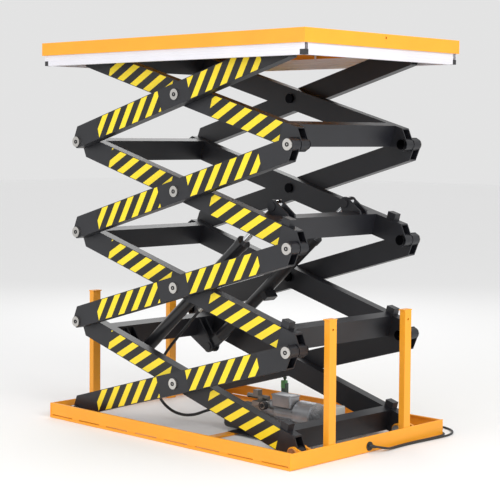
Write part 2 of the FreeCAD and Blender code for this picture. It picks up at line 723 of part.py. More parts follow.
def cylinder_brackets():
    out = f"({EYE_SIDE} + bracket_thickness)"
    end = ("anchor_head_radius", "anchor_head_thickness", 0)
    heads = [
        disc("anchor_head_outer", *end, f"-cylinder_side - {out} - anchor_head_thickness"),
        disc("anchor_head_inner", *end, f"-cylinder_side + {out}"),
    ]
    upper = mirror("upper_plates", bracket_form("rod_bracket", "anchored_lower_inset"), (1, 0, 0))
    plates = on_arm("rod_plates", upper, 3, True)
    caps = both("rod_pin_heads", group("rod_pin_heads_near", *heads))
    place(caps, 0)
    ends = place(group("rod_pin_ends", caps), "upper_anchor_x", 0, "upper_anchor_z")
    node(group("rod_brackets", plates, ends))

    whole = bracket_form("barrel_bracket", "anchored_upper_inset")
    turned = place(group("barrel_plates_turned", whole), "tube_span", 0, "pin_offset", 180)
    plates = on_arm("barrel_plates", mirror("lower_plates", turned, (1, 0, 0)), 1, True)
    start = ("lower_anchor_x", "-cylinder_side - 100", "lower_anchor_z")
    hole = disc("barrel_pin_hole", "anchor_pin_radius", "2 * cylinder_side + 200", *start)
    shaft = disc("anchor_shaft", "anchor_pin_radius", f"2 * {out}", 0, f"-cylinder_side - {out}")
    pins = both("barrel_pin_pair", fuse("barrel_pin", shaft, *heads))
    pins_placed = place(group("barrel_pins", pins), "lower_anchor_x", 0, "lower_anchor_z")
    node(group("barrel_brackets", cut("barrel_plates_drilled", plates, hole), pins_placed))


def along_cylinder(name, part):
    """A near-side piece drawn along X from the lower pin, put in line with both pins."""
    near = group(name + "_near", part)
    far = group(name + "_far", mirror(name + "_twin", part))
    for side in (near, far):
        node(place(side, "lower_anchor_x", 0, "lower_anchor_z", "-cylinder_tilt"))


def cylinders():
    side = "-cylinder_side"
    eye_start = "-(cylinder_side + eye_width / 2)"
    bore_end = "(barrel_length - gland_length)"
    port = "port_place"
    outer = fuse(
        "barrel_outer",
        disc("barrel_eye", "eye_radius", "eye_width", 0, eye_start),
        block("barrel_neck", "neck_length + 2", "eye_width", "neck_depth", 0, eye_start, "-neck_depth / 2"),
        disc("barrel_tube", "barrel_radius", f"{bore_end} - neck_length", "neck_length", side, 0, "X"),
        disc("barrel_gland", "gland_radius", "gland_length", bore_end, side, 0, "X"),
        block("port_block", 32, 74, "port_drop + 12 - 26", port, f"{side} - 18", "-port_drop - 12"),
    )
    eye_hole = disc("barrel_eye_hole", "anchor_pin_radius + pin_play", "eye_width", 0, eye_start)
    bore = disc("barrel_bore", "barrel_bore_radius", f"{bore_end} - neck_length - 14",
                "neck_length + 14", side, 0, "X")
    mouth = ("rod_radius + pin_play", "gland_length + 2", f"{bore_end} - 1", side, 0, "X")
    barrel = cut("barrel_form", outer, eye_hole, bore, disc("gland_bore", *mouth))
    along_cylinder("cylinder_barrel", barrel)
    shaft = ("rod_radius", "cylinder_length - piston_place", "piston_place", side, 0, "X")
    rod = fuse(
        "rod_form",
        disc("piston", "barrel_bore_radius - pin_play", "piston_length", "piston_place", side, 0, "X"),
        disc("rod_shaft", *shaft),
        disc("rod_eye", "eye_radius", "eye_width", "cylinder_length", eye_start),
    )
    along_cylinder("cylinder_rod", rod)


# ---- Platform ----
def platform():
    half_length = "(platform_length / 2)"
    half_width = "(platform_width / 2)"
    deck = block("platform_deck", "platform_length", "platform_width", "deck_thickness")
    node(place(deck, f"-{half_length}", f"-{half_width}", "deck_under"))
    depth = "(skirt_height - deck_thickness)"
    level = "(deck_top - skirt_height)"
    long_size = ("platform_length", "skirt_wall", depth)
    long_side = block("skirt_long", *long_size, f"-{half_length}", f"-{half_width}", level)
    short_size = ("skirt_wall", "platform_width - 2 * skirt_wall", depth)
    short_place = (f"{half_length} - skirt_wall", f"-{half_width} + skirt_wall", level)
    short_side = block("skirt_short", *short_size, *short_place)
    hole = disc("skirt_hole", 6, 40, f"{half_length} - 20", -4, "deck_top - 16", "X")
    ends = [cut("skirt_right", short_side, hole), mirror("skirt_left", short_side, (1, 0, 0))]
    node(group("platform_edge_frame", both("skirt_long_pair", long_side), *ends))

    web_face = "(roller_side + roller_width / 2 + track_room)"
    width = f"{web_face} - (scissor_width / 2 + 4)"
    start = "-(platform_length / 2 - track_margin)"
    strip_level = "(top_pivot + roller_radius + roller_gap)"
    strip_size = ("track_length", width, f"deck_under - {strip_level}")
    strip = block("track_strip", *strip_size, start, f"-{web_face}", strip_level)
    foot_level = "(top_pivot - roller_radius - roller_gap - track_wall)"
    foot_size = ("track_length", width, "track_wall")
    foot = block("track_foot", *foot_size, start, f"-{web_face}", foot_level)
    web_size = ("track_length", "track_wall", f"deck_under - {foot_level}")
    web = block("track_web", *web_size, start, f"-({web_face} + track_wall)", foot_level)
    node(both("platform_roller_tracks", group("track_near", strip, web, foot)))

    bars = []
    for index, x in enumerate((-170, 170, 510)):
        size = ("stiffener_width", "2 * (inner_inside - 8)", "stiffener_depth")
        start = (x, "-(inner_inside - 8)", "deck_under - stiffener_depth")
        bars.append(block(f"stiffener_{index}", *size, *start))
    underframe.extend(bars)


def safety_frame():
    """A light frame under the platform's edge that can be pushed up a little."""
    half_length = "(platform_length / 2 - guard_inset)"
    half_width = "(platform_width / 2 - guard_inset)"
    top = "(deck_top - skirt_height + guard_overlap)"
    level = f"({top} - guard_height)"
    corner_size = ("guard_width", "guard_width", "guard_corner")
    corner_place = (f"{half_length} - guard_width", f"-{half_width}", level)
    corners_right = both("corners_right", block("corner_block", *corner_size, *corner_place))
    corners_left = mirror("corners_left", corners_right, (1, 0, 0))
    corners = node(group("safety_frame_corners", corners_right, corners_left))

    room = ("guard_width - 2 * guard_wall", "guard_height - 2 * guard_wall")
    long_size = (f"2 * {half_length}", "guard_width", "guard_height")
    long_bar = block("guard_long", *long_size, f"-{half_length}", f"-{half_width}", level)
    long_start = (f"-{half_length}", f"-{half_width} + guard_wall", f"{level} + guard_wall")
    long_room = block("guard_long_room", f"2 * {half_length}", *room, *long_start)
    long_tube = cut("guard_long_tube", long_bar, long_room, corners)
    between = f"({half_width} - guard_width)"
    short_size = ("guard_width", f"2 * {between}", "guard_height")
    short_bar = block("guard_short", *short_size, f"{half_length} - guard_width", f"-{between}", level)
    short_start = (f"{half_length} - guard_width + guard_wall", f"-{between}", f"{level} + guard_wall")
    short_room = block("guard_short_room", room[0], f"2 * {between}", room[1], *short_start)
    short_tube = cut("guard_short_tube", short_bar, short_room)
    ends = (short_tube, mirror("guard_short_left", short_tube, (1, 0, 0)))
    profiles = group("guard_profiles", both("guard_long_pair", long_tube), *ends)

    stud_side = f"({half_width} - guard_width / 2)"
    shelf_top = "(deck_top - shelf_drop)"
    skirt_face = "(platform_width / 2 - skirt_wall)"
    studs, shelves = [], []
    for index, x in enumerate((-600, 0, 600)):
        foot = (x, f"-{stud_side}", top)
        shaft = disc(f"stud_{index}", "stud_radius", f"{shelf_top} + 9 - {top}", *foot, "Z")
        head_place = (x, f"-{stud_side}", f"{shelf_top} + face_gap")
        head = disc(f"stud_head_{index}", "stud_radius + 3", 8.5, *head_place, "Z")
        studs.append(fuse(f"stud_whole_{index}", shaft, head))
        size = (30, f"{skirt_face} - {stud_side} + 12", 5)
        shelf = block(f"shelf_{index}", *size, x - 15, f"-{skirt_face}", f"{shelf_top} - 5")
        hole_place = (x, f"-{stud_side}", f"{shelf_top} - 5")
        hole = disc(f"shelf_hole_{index}", "stud_radius + pin_play", 5, *hole_place, "Z")
        shelves.append(cut(f"shelf_whole_{index}", shelf, hole))
    stud_pair = both("guard_studs", group("studs_near", *studs))
    node(group("safety_frame_profiles", profiles, stud_pair))
    underframe.append(both("safety_frame_brackets", group("shelves_near", *shelves)))


# ---- Power unit on its plate ----
def rounded_block(name, points, height, radius):
    """A block on an outline in the XY plane, with all its edges rounded."""
    body = doc.addObject("PartDesign::Body", name)
    feature = pad(body, name + "_pad", outline(body, name + "_outline", "XY_Plane", points), height)
    feature.SideType = "One side"
    doc.recompute()
    round_edges(body, name + "_rounding", radius, lambda point: True)
    return body


def rectangle(length, width):
    return [(0, 0), (length, 0), (length, width), (0, width)]


def power_unit():
    y, z = "motor_side", "motor_level"
    deck = "(bar_thickness + plate_thickness)"
    node(block("power_unit_plate", 442, 330, "plate_thickness", 88, -180, "bar_thickness"))

    motor = doc.addObject("PartDesign::Body", "motor_form")
    circle = outline(motor, "motor_circle", "YZ_Plane", (), [(0, 0, "motor_radius")])
    pad(motor, "motor_pad", circle, "motor_length")
    fin = [
        (-1.5, "motor_radius - 2"),
        (1.5, "motor_radius - 2"),
        (1.5, "motor_radius + fin_height"),
        (-1.5, "motor_radius + fin_height"),
    ]
    fin_pad = pad(motor, "fin_pad", outline(motor, "fin_outline", "YZ_Plane", fin), "motor_length - 16")
    ring = motor.newObject("PartDesign::PolarPattern", "fin_ring")
    ring.Originals = [fin_pad]
    ring.Axis = (origin_plane(motor, "X_Axis"), [""])
    ring.Angle = 360
    ring.Occurrences = MOTOR_FINS
    motor.Tip = ring
    barrel = place(group("motor_barrel", motor), "motor_start + motor_length / 2", y, z)
    cone = add("Part::Cone", "motor_bell")
    bind(cone, Radius1=34, Radius2="motor_radius", Height="bell_length")
    cone.Placement.Rotation = TURNS["X"]
    place(cone, "motor_start - bell_length", y, z)
    foot = block("motor_foot", 90, 90, f"{z} - motor_radius + 6 - {deck}", 315, f"{y} - 45", deck)
    gap = block("motor_foot_gap", 90, 50, f"{z} - motor_radius - 6 - {deck}", 315, f"{y} - 25", deck)
    node(fuse("motor_housing", barrel, cone, cut("motor_feet", foot, gap)))

    start = "(motor_start + motor_length)"
    shell = disc("fan_shell", "fan_radius", "fan_length", start, y, z, "X")
    room = disc("fan_room", "fan_radius - fan_wall", "fan_length - fan_wall", start, y, z, "X")
    node(cut("motor_fan_cover", shell, room))
    hub = disc("fan_hub", 16, 30, f"{start} + 12", y, z, "X")
    blades = [
        block("fan_blade_up", 24, 4, 104, f"{start} + 15", f"{y} - 2", f"{z} - 52"),
        block("fan_blade_across", 24, 104, 4, f"{start} + 15", f"{y} - 52", f"{z} - 2"),
    ]
    node(fuse("motor_fan", hub, *blades))

    box = rounded_block("terminal_box_form", rectangle(112, 70), 54, 8)
    lifted = place(group("terminal_box_lifted", box), 294, f"{y} - 64", f"{z} + 30")
    fins = disc("terminal_box_saddle", "motor_radius + fin_height + 0.1", 150, 280, y, z, "X")
    node(cut("motor_terminal_box", lifted, fins))

    end = "(motor_start - bell_length)"
    valve = block("valve_block", 52, 78, 66, f"{end} - 52", f"{y} - 39", f"{z} - 30")
    pump = disc("pump_body", 34, 52, f"{end} - 52", y, z, "X")
    stack = disc("valve_stack", 11, 130, 88, y, f"{z} + 48", "X")
    riser = block("valve_riser", 30, 30, 22, 162, f"{y} - 15", f"{z} + 30")
    top_coil = block("solenoid_top", 30, 30, 30, 132, f"{y} - 15", f"{z} + 50")
    link = block("solenoid_link", 30, 26, 22, 172, f"{y} - 65", f"{z} + 18")
    arm = block("solenoid_arm", 45, 10, 16, 200, f"{y} - 65", f"{z} + 22")
    coil = disc("solenoid_coil", 17.5, 34, 255, f"{y} - 84", f"{z} + 30")
    node(fuse("pump_and_valves", valve, pump, stack, riser, top_coil, link, arm, coil))

    tank = rounded_block("tank_form", rectangle("tank_length", "tank_width"), "tank_height", "tank_corner")
    settled = place(group("tank_settled", tank), 0, f"{y} - tank_width / 2", deck)
    outlet = disc("tank_outlet", 11, 20, -16, HOSE_START[1], HOSE_START[2], "X")
    node(fuse("oil_tank", settled, outlet))


def controls():
    deck = "(bar_thickness + plate_thickness)"
    box = rounded_block("control_box", rectangle(96, 78), 134, 5)
    node(place(box, 424, 66, deck))
    rail_face = "(base_width / 2 - base_foot - base_wall)"
    top = "(base_height - base_wall)"
    shelf = block("switch_shelf", 44, 42, 5, -190, f"{rail_face} - 42", f"{top} - 12")
    stem = block("switch_stem", 30, 22, 66, -183, f"{rail_face} - 40", f"{top} - 7")
    lever = block("switch_lever", 8, 8, 24, -172, f"{rail_face} - 33", f"{top} + 59")
    wheel = disc("switch_wheel", 9, 8, -168, f"{rail_face} - 33", f"{top} + 86")
    node(fuse("limit_switch", shelf, stem, lever, wheel))
    across, up = "cable_hole_side", "cable_hole_level"
    face = "(base_length / 2)"
    flange = disc("gland_flange", "cable_hole_radius + 5", 4, face, across, up, "X")
    neck = disc("gland_neck", "cable_hole_radius", "end_thickness + 6", f"{face} - end_thickness - 6",
                across, up, "X")
    node(fuse("cable_gland", flange, neck))


# ---- Hose and leads: straight runs joined by tangent arcs ----
HOSE_START = (-16, -105, 86)


def route(points):
    """A wire of straight runs and arcs through points, and its bend radii."""
    corners = [Vector(*point) for point in points]
    edges, radii = [], []
    last = corners[0]
    for before, corner, after in zip(corners, corners[1:], corners[2:]):
        back, ahead = before - corner, after - corner
        turn = math.pi - back.getAngle(ahead)
        trim = 0.45 * min(back.Length, ahead.Length)
        radii.append(trim / math.tan(turn / 2))
        back.normalize()
        ahead.normalize()
        start = corner + back * trim
        end = corner + ahead * trim
        to_middle = (back + ahead).normalize()
        sagitta = radii[-1] / math.cos(turn / 2) - radii[-1]
        edges.append(Part.LineSegment(last, start).toShape())
        edges.append(Part.Arc(start, corner + to_middle * sagitta, end).toShape())
        last = end
    edges.append(Part.LineSegment(last, corners[-1]).toShape())
    return Part.Wire(edges), radii


def tube(name, points, radius):
    """A round cord along a route, checked against its section times its length."""
    wire, radii = route(points)
    direction = Vector(*points[1]) - Vector(*points[0])
    ring = Part.Wire(Part.Circle(Vector(*points[0]), direction, radius).toShape())
    shape = wire.makePipeShell([ring], True, False)
    expected = math.pi * radius * radius * wire.Length
    assert abs(shape.Volume / expected - 1) < 0.01, (name, shape.Volume, expected)
    print(f"{name}: {wire.Length:.0f} mm, radii {min(radii):.0f} to {max(radii):.0f} mm")
    thing = add("Part::Feature", name)
    thing.Shape = shape
    return thing


def coil(name, radius, bore, height, x, y):
    """The outer shape of a coiled lead lying on the floor."""
    outside = disc(name + "_outside", radius, height, x, y, 0, "Z")
    return node(cut(name, outside, disc(name + "_bore", bore, height, x, y, 0, "Z")))


def hydraulic_hose():
    slope = math.radians(number("cylinder_tilt"))
    across, drop = number("port_place"), number("port_drop")
    end = (
        number("lower_anchor_x") + across * math.cos(slope) + drop * math.sin(slope),
        -205,
        number("lower_anchor_z") + across * math.sin(slope) - drop * math.cos(slope),
    )
    before = (end[0] - 84 * math.cos(slope), -205, end[2] - 84 * math.sin(slope))
    points = [
        HOSE_START,
        (-78, -105, 86),
        (-134, -112, 66),
        (-188, -120, 43),
        (-252, -131, 31),
        (-318, -146, 41),
        (-368, -162, 74),
        (-398, -176, 124),
        (-403, -186, 182),
        (-384, -194, 240),
        (-346, -200, 296),
        (-296, -204, 352),
        (-238, -206, 408),
        (-180, -206, 462),
        before,
        end,
    ]
    node(tube("hydraulic_hose", points, number("hose_radius")))


def leads():
    """The supply lead with its plug, and the hand control on its lead."""
    start = number("base_length / 2")
    edge = number("base_width / 2")
    supply = [
        (start, -22, 31),
        (start + 19, -8, 29),
        (start + 32, 13, 24.5),
        (start + 38, 38, 18.5),
        (start + 38, 66, 12),
        (start + 35, 97, 6.6),
        (start + 31, 140, 4.7),
        (start + 27, 205, 4.7),
        (start + 29, 285, 4.7),
        (start + 35, 365, 4.7),
        (start + 40, 440, 4.7),
        (start + 40, 508, 4.7),
        (start + 24, edge + 44, 4.7),
        (start - 18, edge + 94, 4.7),
        (start - 84, edge + 124, 4.7),
        (start - 156, edge + 132, 4.7),
        (start - 236, edge + 132, 4.7),
        (start - 316, edge + 126, 4.7),
        (start - 386, edge + 120, 4.7),
        (start - 442, edge + 119, 4.7),
    ]
    control = [
        (start, -10, 27),
        (start + 15, 2, 25),
        (start + 24, 19, 21),
        (start + 27, 40, 15.5),
        (start + 26, 64, 9.5),
        (start + 23, 94, 5),
        (start + 19, 136, 4.2),
        (start + 14, 196, 4.2),
        (start + 13, 274, 4.2),
        (start + 17, 352, 4.2),
        (start + 22, 428, 4.2),
        (start + 22, 490, 4.2),
        (start + 2, edge + 13, 4.2),
        (start - 44, edge + 21, 4.2),
        (start - 98, edge + 18, 4.2),
        (start - 150, edge + 16, 4.2),
    ]
    supply_x, supply_y = start - 444, edge + 67
    control_x, control_y = start - 152, edge + 60
    coil("supply_coil", 60, 40, 27, supply_x, supply_y)
    coil("control_coil", 53, 35, 24, control_x, control_y)
    supply_tail = [
        (supply_x - 6, supply_y + 52, 12),
        (supply_x - 46, supply_y + 52, 14),
        (supply_x - 90, supply_y + 36, 17.2),
    ]
    control_tail = [
        (control_x - 6, control_y - 45, 12),
        (control_x - 44, control_y - 43, 14),
        (control_x - 84, control_y - 29, 17),
    ]
    plug_x, plug_y = supply_x - 86, supply_y + 36
    end_x, end_y = control_x - 82, control_y - 28
    lead = tube("supply_run", supply, number("supply_radius"))
    node(group("supply_lead", lead, tube("supply_tail", supply_tail, number("supply_radius"))))
    lead = tube("control_run", control, number("control_radius"))
    node(group("control_lead", lead, tube("control_tail", control_tail, number("control_radius"))))
    tail = disc("plug_tail", 7, 24, plug_x - 24, plug_y, 17.2, "X")
    grip = disc("plug_grip", 17, 46, plug_x - 70, plug_y, 17.2, "X")
    nose = disc("plug_nose", 21, 40, plug_x - 110, plug_y, 21.2, "X")
    node(fuse("supply_plug", grip, nose, tail))
    case = rounded_block("case_form", rectangle(130, 62), 34, 6)
    case_x, case_y = end_x - 130, end_y - 31
    settled = place(group("case_settled", case), case_x, case_y)
    wells = []
    for index, name in enumerate(("up_button", "down_button", "stop_button")):
        centre = (case_x + 28 + 36 * index, end_y)
        wells.append(disc(name + "_well", 11.5, 12, *centre, 22.2, "Z"))
        cap = disc(name + "_cap", 11, 7, *centre, 33, "Z")
        stem = disc(name + "_stem", 8, 5, *centre, 28, "Z")
        node(fuse(name, cap, stem))
    node(cut("control_case", settled, *wells))


base_side_rails()
base_end_plates(base_pivots())
base_cross_bars()
support_posts()
arms()
cross_tubes()
pivot_pins()
rollers()
platform_pivots()
cylinder_brackets()
cylinders()
platform()
safety_frame()
power_unit()
controls()
node(group("platform_underframe", *underframe))
hydraulic_hose()
leads()
doc.recompute()

failed = [thing.Name for thing in doc.Objects if {"Invalid", "Error"} & set(thing.State)]
assert not failed, f"failed objects: {failed}"
for name, thing in nodes.items():
    assert not thing.Shape.isNull() and thing.Shape.isValid(), f"bad shape: {name}"
    assert thing.Shape.Solids, f"no solid: {name}"

os.makedirs("parts", exist_ok=True)
for name, thing in nodes.items():
    thing.Shape.exportStep(f"parts/{name}.step")
print(f"{len(nodes)} sub-parts; arms {number('arm_length'):.1f} mm, deck {number('deck_top'):.1f} mm up")
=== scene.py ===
"""Looks of a four-level scissor lift table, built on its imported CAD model.

Metres, +X along the table towards its fixed pivots, the near long side faces -Y, +Z up.
"""

import json
import math

import bpy
from mathutils import Matrix, Vector


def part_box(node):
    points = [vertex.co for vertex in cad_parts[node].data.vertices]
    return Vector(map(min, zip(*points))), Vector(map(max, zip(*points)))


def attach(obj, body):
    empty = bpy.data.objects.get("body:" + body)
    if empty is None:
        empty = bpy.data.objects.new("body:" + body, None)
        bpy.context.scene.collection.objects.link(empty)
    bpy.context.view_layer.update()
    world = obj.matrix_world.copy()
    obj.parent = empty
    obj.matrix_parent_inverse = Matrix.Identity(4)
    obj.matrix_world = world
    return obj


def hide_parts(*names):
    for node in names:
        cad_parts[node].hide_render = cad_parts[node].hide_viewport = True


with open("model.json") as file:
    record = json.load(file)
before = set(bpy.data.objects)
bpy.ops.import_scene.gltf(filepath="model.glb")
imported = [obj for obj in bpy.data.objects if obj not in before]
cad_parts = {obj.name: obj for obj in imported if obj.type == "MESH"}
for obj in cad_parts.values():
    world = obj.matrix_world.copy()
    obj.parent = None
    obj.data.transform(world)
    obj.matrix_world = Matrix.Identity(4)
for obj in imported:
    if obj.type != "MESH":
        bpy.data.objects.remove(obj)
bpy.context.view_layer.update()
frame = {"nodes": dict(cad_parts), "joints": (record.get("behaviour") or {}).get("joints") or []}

# ---- Camera, lights and floor ----
# A long lens stands off the near corner at the pivot end, a little above the middle of the table.
# Large soft lamps light a plain pale floor that runs out to a pale sky.
AZIMUTH, PITCH, ROLL = math.radians(43.87), math.radians(2.76), math.radians(0.43)
forward = Vector((
    -math.sin(AZIMUTH) * math.cos(PITCH),
    math.cos(AZIMUTH) * math.cos(PITCH),
    -math.sin(PITCH),
))
level_right = Vector((math.cos(AZIMUTH), math.sin(AZIMUTH), 0))
level_up = level_right.cross(forward)
right = level_right * math.cos(ROLL) + level_up * math.sin(ROLL)
up = level_up * math.cos(ROLL) - level_right * math.sin(ROLL)
lens = bpy.data.cameras.new("camera")
lens.lens = 102.8
lens.sensor_width = 36
lens.shift_y = -0.09
lens.clip_end = 60
camera = bpy.data.objects.new("camera", lens)
bpy.context.scene.collection.objects.link(camera)
camera.matrix_world = Matrix((
    (right.x, up.x, -forward.x, 4.6843),
    (right.y, up.y, -forward.y, -4.8259),
    (right.z, up.z, -forward.z, 1.3734),
    (0, 0, 0, 1),
))
bpy.context.scene.camera = camera
bpy.context.scene.view_settings.view_transform = "Standard"


def lamp(name, place, target, size, watts, colour=(1, 1, 1)):
    """A square soft lamp that faces the target."""
    data = bpy.data.lights.new(name, "AREA")
    data.size = size
    data.energy = watts
    data.color = colour
    thing = bpy.data.objects.new(name, data)
    bpy.context.scene.collection.objects.link(thing)
    thing.location = place
    thing.rotation_euler = (Vector(target) - Vector(place)).to_track_quat("-Z", "Y").to_euler()


lamp("key", (4.8, -1.2, 3.2), (0, 0, 0.9), 2.4, 150, (1, 0.99, 0.97))
lamp("front", (-0.4, -5.4, 2.2), (0, 0, 0.8), 3.0, 85)
lamp("back", (-3.5, 3.5, 3.4), (0, 0, 1), 2.4, 45)
world = bpy.data.worlds.new("studio")
bpy.context.scene.world = world
world.use_nodes = True
nodes, links = world.node_tree.nodes, world.node_tree.links
glow = nodes["Background"]
glow.inputs["Color"].default_value = (1, 1, 1, 1)
glow.inputs["Strength"].default_value = 0.82
sky = nodes.new("ShaderNodeBackground")
sky.inputs["Color"].default_value = (0.77, 0.77, 0.77, 1)
seen = nodes.new("ShaderNodeLightPath")
choice = nodes.new("ShaderNodeMixShader")
links.new(seen.outputs["Is Camera Ray"], choice.inputs[0])
links.new(glow.outputs[0], choice.inputs[1])
links.new(sky.outputs[0], choice.inputs[2])
links.new(choice.outputs[0], nodes["World Output"].inputs[0])


def deselect():
    """Nothing selected, ready for a new primitive."""
    if bpy.context.object and bpy.context.object.mode != "OBJECT":
        bpy.ops.object.mode_set(mode="OBJECT")
    bpy.ops.object.select_all(action="DESELECT")


deselect()
bpy.ops.mesh.primitive_plane_add(size=60, location=(0, 0, -0.001))
floor = bpy.context.object
floor.name = "floor"
paper = bpy.data.materials.new("floor_paper")
paper.use_nodes = True
shader = paper.node_tree.nodes["Principled BSDF"]
shader.inputs["Base Color"].default_value = (0.9, 0.9, 0.9, 1)
shader.inputs["Roughness"].default_value = 0.9
floor.data.materials.append(paper)

# ---- Supply lead and hand control's lead ----
# Two black rubber cables leave the gland in the pivot end plate, drop to the floor and run round the
# corner of the base. Each is wound into a neat coil behind the table, with its plug or hand control.
# START is where they leave the end plate, and EDGE is the base's far side.
START, EDGE = 0.792, 0.525
TURNS, STEPS, LAST_STEADY_STEP = 5, 16, 10


def wound(centre, first, wide, narrow, thick, side):
    """The turns of a coil that starts at its near (-1) or far (1) side and heads towards -X."""
    turns = [(wide, 0), (narrow, 0), (narrow, 1), (wide, 1), (wide, 2), (wide, 2)]
    points = []
    for turn in range(TURNS):
        for step in range(STEPS):
            share = max(0, (step - LAST_STEADY_STEP) / (STEPS - LAST_STEADY_STEP))
            blend = share * share * (3 - 2 * share)
            radius = turns[turn][0] * (1 - blend) + turns[turn + 1][0] * blend
            layer = turns[turn][1] * (1 - blend) + turns[turn + 1][1] * blend
            angle = side * (math.pi / 2 + math.tau * step / STEPS)
            x = centre[0] + radius * math.cos(angle)
            y = centre[1] + radius * math.sin(angle)
            points.append((x, y, first + layer * thick))
    return points


def cable(name, points, thick, finish):
    """A round cable on one smooth curve through its route's control points."""
    line = bpy.data.curves.new(name, "CURVE")
    line.dimensions = "3D"
    line.bevel_depth = thick / 2
    line.bevel_resolution = 5
    line.resolution_u = 6
    line.use_fill_caps = True
    spline = line.splines.new("NURBS")
    spline.points.add(len(points) - 1)
    for point, place in zip(spline.points, points):
        point.co = (*place, 1)
    spline.order_u = 3
    spline.use_endpoint_u = True
    line.materials.append(finish)
    thing = bpy.data.objects.new(name, line)
    bpy.context.scene.collection.objects.link(thing)
    return thing


def finish(name, colour, roughness, metallic=0.0, grain=400.0, depth=0.02, shade=0.12, coat=0.0):
    """A finish with a coarse noise in its colour and a fine one in its bump, depth millimetres high."""
    material = bpy.data.materials.new(name)
    material.use_nodes = True
    nodes, links = material.node_tree.nodes, material.node_tree.links
    shader = nodes["Principled BSDF"]
    shader.inputs["Roughness"].default_value = roughness
    shader.inputs["Metallic"].default_value = metallic
    shader.inputs["Coat Weight"].default_value = coat
    shader.inputs["Coat Roughness"].default_value = 0.25
    place = nodes.new("ShaderNodeTexCoord")
    place.name = "place"
    coarse = nodes.new("ShaderNodeTexNoise")
    coarse.inputs["Scale"].default_value = 7
    coarse.inputs["Detail"].default_value = 6
    links.new(place.outputs["Object"], coarse.inputs["Vector"])
    tone = nodes.new("ShaderNodeValToRGB")
    tone.name = "tone"
    dark, light = tone.color_ramp.elements
    dark.position = 0.3
    dark.color = (*[c * (1 - shade) for c in colour], 1)
    light.position = 0.7
    light.color = (*[min(1, c * (1 + shade * 0.6)) for c in colour], 1)
    links.new(coarse.outputs["Fac"], tone.inputs["Fac"])
    links.new(tone.outputs["Color"], shader.inputs["Base Color"])
    fine = nodes.new("ShaderNodeTexNoise")
    fine.inputs["Scale"].default_value = grain
    fine.inputs["Detail"].default_value = 3
    links.new(place.outputs["Object"], fine.inputs["Vector"])
    bump = nodes.new("ShaderNodeBump")
    bump.name = "bump"
    bump.inputs["Strength"].default_value = 0.25
    bump.inputs["Distance"].default_value = depth / 1000
    links.new(fine.outputs["Fac"], bump.inputs["Height"])
    links.new(bump.outputs["Normal"], shader.inputs["Normal"])
    return material


def dress(node, material):
    """Gives a CAD node its finish."""
    slots = frame["nodes"][node].material_slots
    for slot in slots:
        slot.material = material
    if not slots:
        frame["nodes"][node].data.materials.append(material)


lead_rubber = finish("lead_rubber", (0.017, 0.017, 0.018), 0.55, grain=900, depth=0.05)
supply_middle = (START - 0.444, EDGE + 0.067)
supply_route = [
    (START, -0.022, 0.031),
    (START + 0.019, -0.008, 0.029),
    (START + 0.032, 0.013, 0.0245),
    (START + 0.038, 0.038, 0.0185),
    (START + 0.038, 0.066, 0.012),
    (START + 0.035, 0.097, 0.0066),
    (START + 0.031, 0.140, 0.0047),
    (START + 0.027, 0.205, 0.0047),
    (START + 0.029, 0.285, 0.0047),
    (START + 0.035, 0.365, 0.0047),
    (START + 0.040, 0.440, 0.0047),
    (START + 0.040, 0.508, 0.0047),
    (START + 0.024, EDGE + 0.044, 0.0047),
    (START - 0.018, EDGE + 0.094, 0.0047),
    (START - 0.084, EDGE + 0.124, 0.0047),
    (START - 0.156, EDGE + 0.132, 0.0047),
    (START - 0.236, EDGE + 0.132, 0.0047),
    (START - 0.316, EDGE + 0.126, 0.0047),
    (START - 0.386, EDGE + 0.121, 0.0047),
]
supply_route += wound(supply_middle, 0.0047, 0.0545, 0.0452, 0.0091, 1)
supply_route += [
    (supply_middle[0] - 0.006, supply_middle[1] + 0.0555, 0.0226),
    (supply_middle[0] - 0.030, supply_middle[1] + 0.0560, 0.0200),
    (supply_middle[0] - 0.058, supply_middle[1] + 0.0490, 0.0180),
    (supply_middle[0] - 0.090, supply_middle[1] + 0.0360, 0.0172),
]
supply_cable = cable("supply_cable", supply_route, 0.009, lead_rubber)
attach(supply_cable, "base")
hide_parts("supply_lead", "supply_coil")

control_middle = (START - 0.152, EDGE + 0.060)
control_route = [
    (START, -0.010, 0.027),
    (START + 0.015, 0.002, 0.025),
    (START + 0.024, 0.019, 0.021),
    (START + 0.027, 0.040, 0.0155),
    (START + 0.026, 0.064, 0.0095),
    (START + 0.023, 0.094, 0.005),
    (START + 0.019, 0.136, 0.0042),
    (START + 0.014, 0.196, 0.0042),
    (START + 0.013, 0.274, 0.0042),
    (START + 0.017, 0.352, 0.0042),
    (START + 0.022, 0.428, 0.0042),
    (START + 0.022, 0.490, 0.0042),
    (START + 0.002, EDGE + 0.013, 0.0042),
    (START - 0.044, EDGE + 0.021, 0.0042),
    (START - 0.098, EDGE + 0.014, 0.0042),
]
control_route += wound(control_middle, 0.0042, 0.0485, 0.0402, 0.0081, -1)
control_route += [
    (control_middle[0] - 0.006, control_middle[1] - 0.0495, 0.0203),
    (control_middle[0] - 0.028, control_middle[1] - 0.0500, 0.0185),
    (control_middle[0] - 0.054, control_middle[1] - 0.0420, 0.0175),
    (control_middle[0] - 0.084, control_middle[1] - 0.0290, 0.0170),
]
control_cable = cable("control_cable", control_route, 0.008, lead_rubber)
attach(control_cable, "base")
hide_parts("control_lead", "control_coil")


def route_length(points):
    """Length of the smooth curve, taken between the middles of the route's runs."""
    middles = [Vector(points[0])]
    middles += [(Vector(a) + Vector(b)) / 2 for a, b in zip(points, points[1:])]
    middles.append(Vector(points[-1]))
    return sum((b - a).length for a, b in zip(middles, middles[1:]))


# ---- Strain reliefs ----
# Ribbed, tapered rubber sleeves moulded on the cables where they leave the gland and enter the
# hand control, so that the cables can't kink there.


def along(direction):
    """Turn that lays a primitive's own Z axis along a direction."""
    return Vector(direction).to_track_quat("Z", "Y").to_euler()


